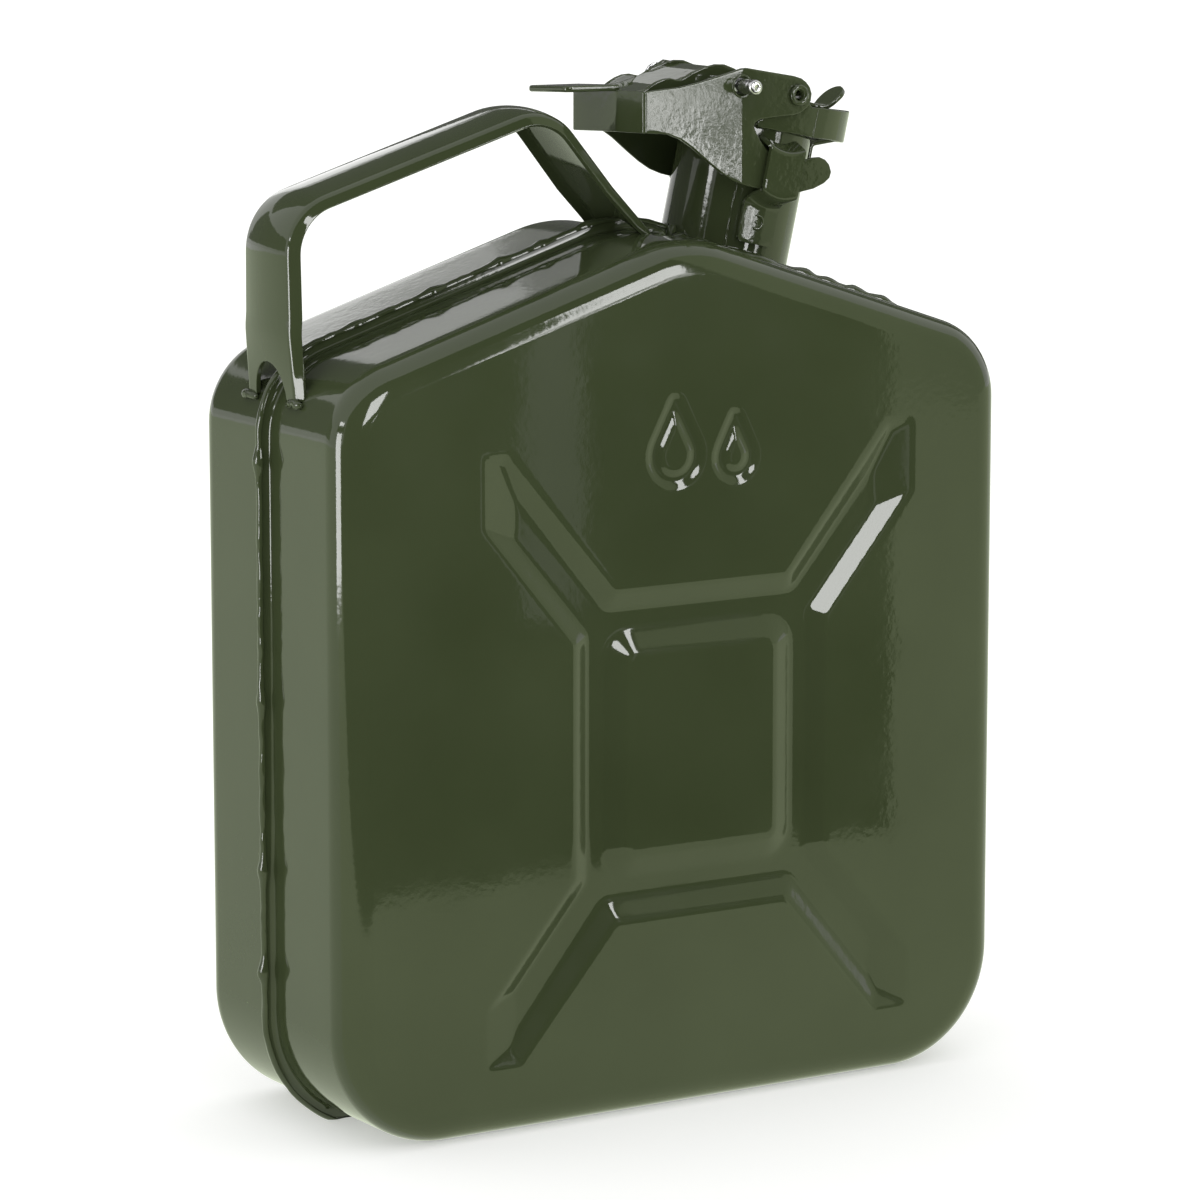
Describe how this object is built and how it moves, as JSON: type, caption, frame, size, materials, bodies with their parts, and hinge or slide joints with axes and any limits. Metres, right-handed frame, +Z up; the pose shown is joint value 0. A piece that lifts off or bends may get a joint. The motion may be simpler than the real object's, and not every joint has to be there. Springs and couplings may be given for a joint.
{
  "type": "jerry can",
  "caption": "Pressed-steel fuel can with a bent strip handle, a tilted filler neck and a clamp lever that lifts a hinged lid.",
  "frame": {"origin": "on the floor under the middle of the can", "axes": "+Z up, +X from the handle towards the filler neck, -Y out of the front panel"},
  "size_m": [0.2486, 0.09, 0.3203],
  "materials": {
    "olive_paint": "gloss",
    "zinc_plate": "satin",
    "gasket_rubber": "matte"
  },
  "bodies": {
    "can": {"front_shell": "olive_paint", "rear_shell": "olive_paint", "seam_weld": "olive_paint", "handle": "olive_paint", "handle_weld_side": "olive_paint", "handle_weld_top": "olive_paint", "filler_neck": "olive_paint", "neck_weld": "olive_paint", "breather_tube": "olive_paint", "breather_clip": "olive_paint", "catch_bracket_front": "olive_paint", "catch_bracket_rear": "olive_paint", "bracket_spot_welds": "olive_paint", "hinge_bow": "olive_paint", "bow_stay": "olive_paint", "pivot_rivet_front": "olive_paint", "pivot_rivet_rear": "olive_paint"},
    "lever": {"lever": "olive_paint", "lid_pin": "zinc_plate", "pin_clip": "zinc_plate"},
    "lid": {"lid_cap": "olive_paint", "lid_gasket": "gasket_rubber", "gasket_retainer": "olive_paint", "lid_saddle": "olive_paint"}
  },
  "joints": [
    {"name": "lever_swing", "type": "hinge", "parent": "can", "child": "lever", "pos_m": [0.05466, 0, 0.31077], "axis": [0, 1, 0], "range_deg": [0, 90]},
    {"name": "lid_tilt", "type": "hinge", "parent": "lever", "child": "lid", "pos_m": [0.03393, 0, 0.31432], "axis": [0, 1, 0], "range_deg": [-58.5, 0]}
  ],
  "couplings": [
    {"joint": "lid_tilt", "follows": "lever_swing", "ratio": -0.65}
  ]
}
